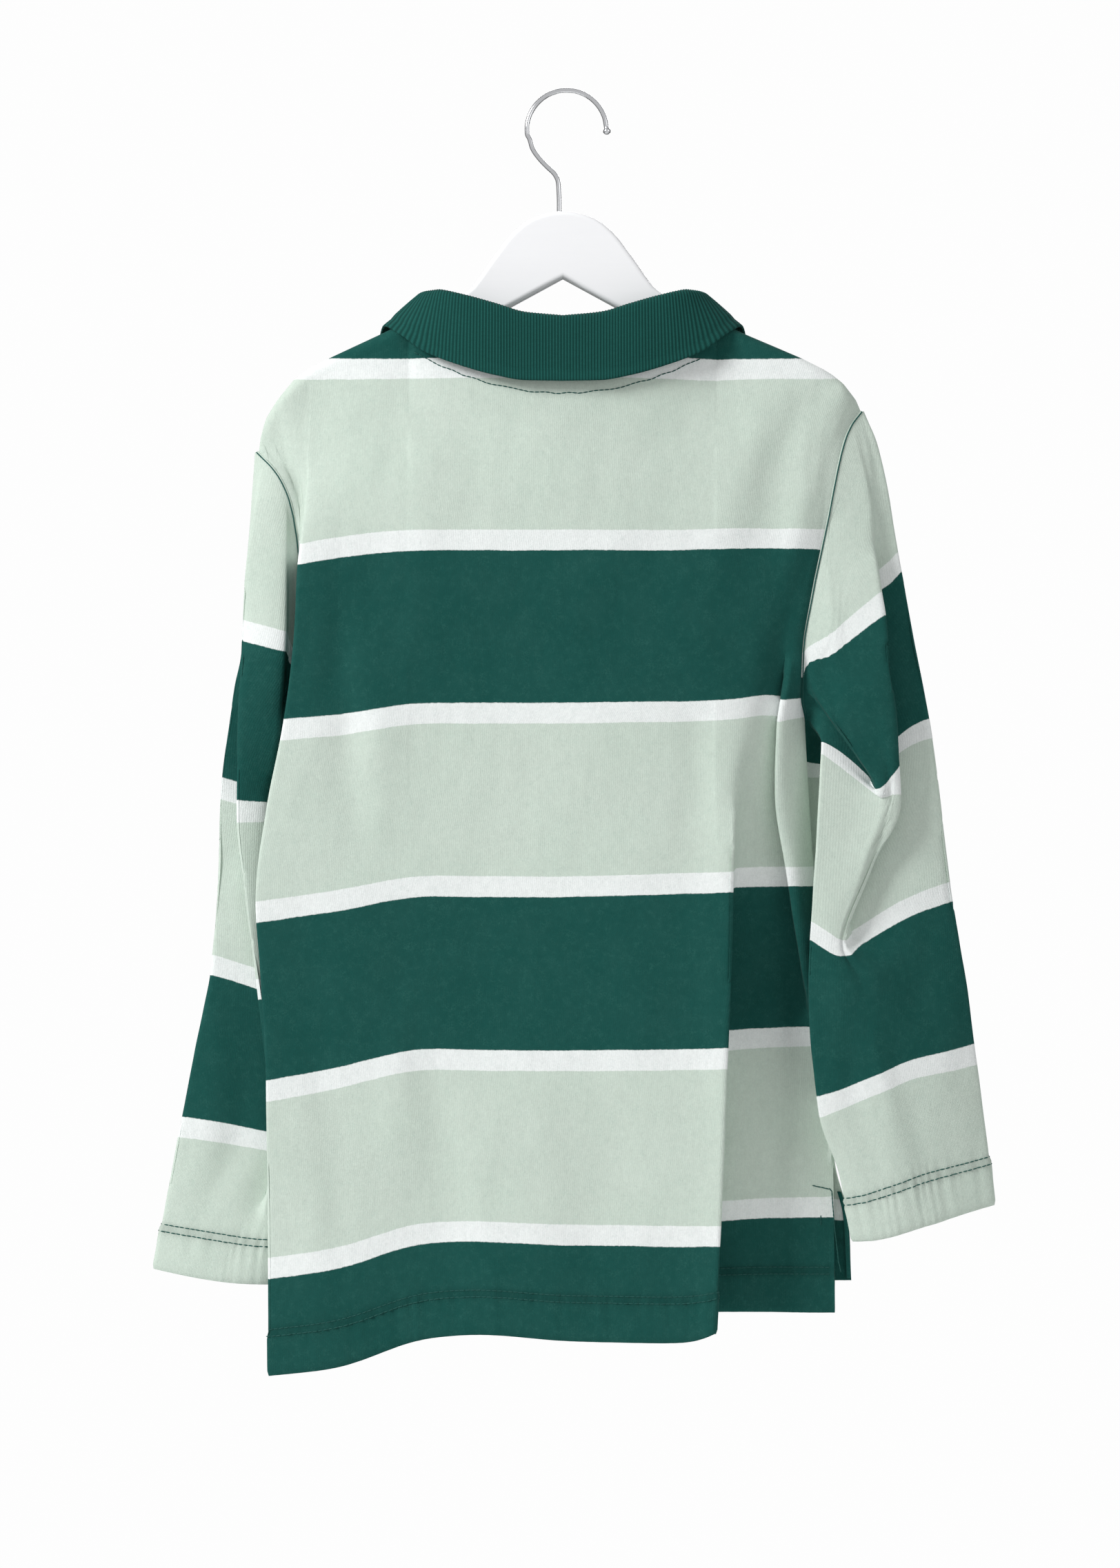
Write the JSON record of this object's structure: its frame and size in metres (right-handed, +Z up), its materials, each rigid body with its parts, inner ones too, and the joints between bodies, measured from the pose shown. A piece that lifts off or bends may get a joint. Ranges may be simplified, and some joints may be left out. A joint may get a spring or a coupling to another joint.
{
  "type": "long-sleeve top on a hanger",
  "caption": "Child's striped jersey rugby top with a ribbed collar and long sleeves, hung by its shoulders on a white wooden hanger with a bright metal hook.",
  "frame": {"origin": "the crown of the hook's inside, where the rail that holds the hanger would touch", "axes": "+Z up, the way it hangs; +X to the right when the top's back is looked at; +Y towards the top's front, so the back faces -Y"},
  "size_m": [0.4742, 0.075, 0.7236],
  "materials": {
    "striped_jersey": "matt brushed knit, in dark green and pale sage stripes edged with narrow white ones",
    "collar_rib": "matt flat-knit rib",
    "green_jersey": "matt knit",
    "button_plastic": "satin off-white",
    "white_painted_wood": "white satin paint",
    "bright_metal": "bright plated wire"
  },
  "bodies": {
    "root": {"back": "striped_jersey", "front": "striped_jersey", "sleeve_left": "striped_jersey", "sleeve_right": "striped_jersey", "collar": "collar_rib", "placket_over": "green_jersey", "placket_under": "green_jersey", "button_1": "button_plastic", "button_2": "button_plastic", "button_3": "button_plastic", "vent_strip_back_right": "green_jersey", "vent_strip_front_right": "green_jersey", "vent_strip_back_left": "green_jersey", "vent_strip_front_left": "green_jersey", "hanger_body": "white_painted_wood", "hook": "bright_metal"}
  },
  "joints": []
}
